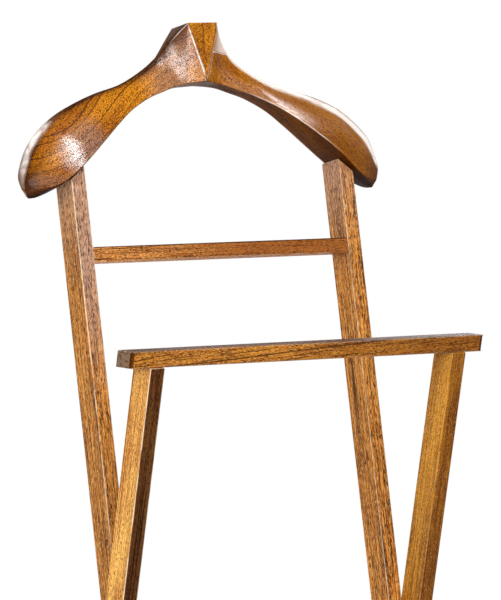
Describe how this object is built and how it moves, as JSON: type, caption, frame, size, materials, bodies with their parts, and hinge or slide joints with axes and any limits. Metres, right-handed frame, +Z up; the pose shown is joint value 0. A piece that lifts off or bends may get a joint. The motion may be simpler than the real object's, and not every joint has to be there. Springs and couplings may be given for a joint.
{
  "type": "clothes valet stand",
  "caption": "Folding wooden clothes valet with a carved jacket hanger, a crossbar, a trouser bar and a slatted shoe rack on a crossed frame.",
  "frame": {"origin": "on the floor, under the middle of the whole stand's box", "axes": "+X across the stand to the right as seen from the trouser bar's side, +Y to the back, the side that the hanger leans to, +Z up"},
  "size_m": [0.444, 0.267, 1.1003],
  "materials": {
    "hanger_wood": "open-pored hardwood, stained brown, glossy lacquer",
    "frame_wood": "open-pored hardwood, stained brown, satin to glossy lacquer",
    "bar_wood": "straight-grained hardwood, stained brown, glossy lacquer",
    "dowel_wood": "plain beech, fluted, unfinished",
    "bolt_brass": "aged brass, satin",
    "washer_fibre": "pale waxed fibre",
    "screw_brass": "brass, countersunk heads",
    "glide_plastic": "dark brown moulded plastic"
  },
  "bodies": {
    "coat_frame": {"left_upright": "frame_wood", "right_upright": "frame_wood", "coat_hanger": "hanger_wood", "crossbar": "frame_wood", "foot_stretcher": "frame_wood", "hanger_dowels": "dowel_wood", "crossbar_dowels": "dowel_wood", "stretcher_dowels": "dowel_wood", "coat_frame_glides": "glide_plastic"},
    "trouser_frame": {"left_leg": "frame_wood", "right_leg": "frame_wood", "trouser_bar": "bar_wood", "bar_dowels": "dowel_wood", "rack_rod": "frame_wood", "trouser_frame_glides": "glide_plastic", "left_pivot_bolt": "bolt_brass", "right_pivot_bolt": "bolt_brass", "spacer_washers": "washer_fibre", "nut_washers": "bolt_brass", "left_cap_nut": "bolt_brass", "right_cap_nut": "bolt_brass"},
    "shoe_rack": {"left_rack_rail": "frame_wood", "right_rack_rail": "frame_wood", "rack_slat_1": "frame_wood", "rack_slat_2": "frame_wood", "rack_slat_3": "frame_wood", "rack_slat_4": "frame_wood", "rack_slat_5": "frame_wood", "rack_screws": "screw_brass"}
  },
  "joints": [
    {"name": "fold", "type": "hinge", "parent": "coat_frame", "child": "trouser_frame", "pos_m": [0, -0.02432, 0.417], "axis": [-1, 0, 0], "range_deg": [0, 19.5]},
    {"name": "rack_lift", "type": "hinge", "parent": "trouser_frame", "child": "shoe_rack", "pos_m": [0, 0.04596, 0.1], "axis": [-1, 0, 0], "range_deg": [0, 75.5]}
  ],
  "couplings": [
    {"joint": "rack_lift", "follows": "fold", "ratio": 3.86}
  ]
}
